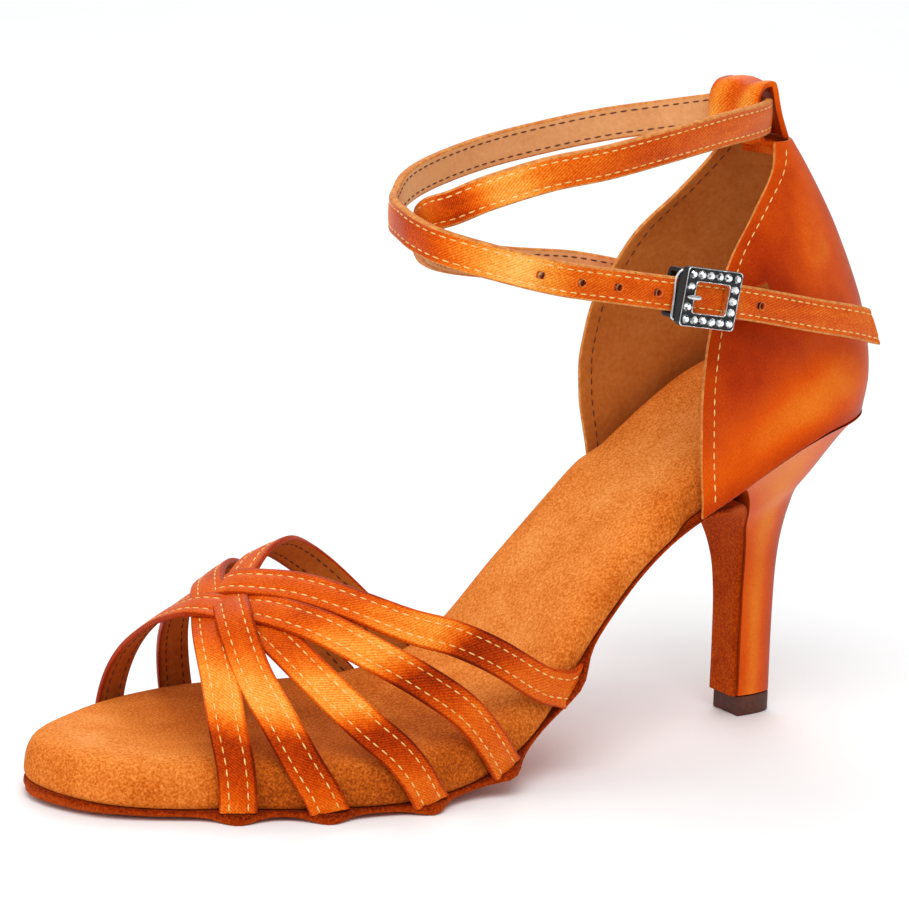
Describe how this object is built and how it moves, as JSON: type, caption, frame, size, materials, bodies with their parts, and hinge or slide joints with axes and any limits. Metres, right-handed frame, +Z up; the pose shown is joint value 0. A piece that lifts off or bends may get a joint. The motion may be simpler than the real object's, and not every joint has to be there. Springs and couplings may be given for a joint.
{
  "type": "ballroom dance sandal",
  "caption": "Left ballroom dance sandal with woven satin toe straps, closed counter, wrapped ankle strap with a stone-set square buckle, slim flared heel and suede sole.",
  "frame": {"origin": "middle of the bounding box in plan, at floor level", "axes": "+X along the shoe from heel to toe, +Y towards the outer side of the left foot, +Z up"},
  "size_m": [0.2124, 0.0832, 0.152],
  "materials": {
    "satin": "orange satin with a tan lining and topstitching",
    "sole_suede": "rust chrome suede with a brushed nap",
    "sock_suede": "tan brushed microfibre over padding",
    "tap_rubber": "dark brown, slightly glossy",
    "buckle_chrome": "polished, with a dark recessed face",
    "crystal": "clear cut stone with a silver back"
  },
  "bodies": {
    "root": {"outsole": "sole_suede", "insole": "sock_suede", "heel": "satin", "heel_tap": "tap_rubber", "counter": "satin", "vamp_straps": "satin", "ankle_strap": "satin", "back_loop": "satin", "buckle_holder": "satin", "buckle_frame": "buckle_chrome", "buckle_prong": "buckle_chrome", "crystal_01": "crystal", "crystal_02": "crystal", "crystal_03": "crystal", "crystal_04": "crystal", "crystal_05": "crystal", "crystal_06": "crystal", "crystal_07": "crystal", "crystal_08": "crystal", "crystal_09": "crystal", "crystal_10": "crystal", "crystal_11": "crystal", "crystal_12": "crystal", "crystal_13": "crystal", "crystal_14": "crystal", "crystal_15": "crystal", "crystal_16": "crystal", "crystal_17": "crystal"}
  },
  "joints": []
}
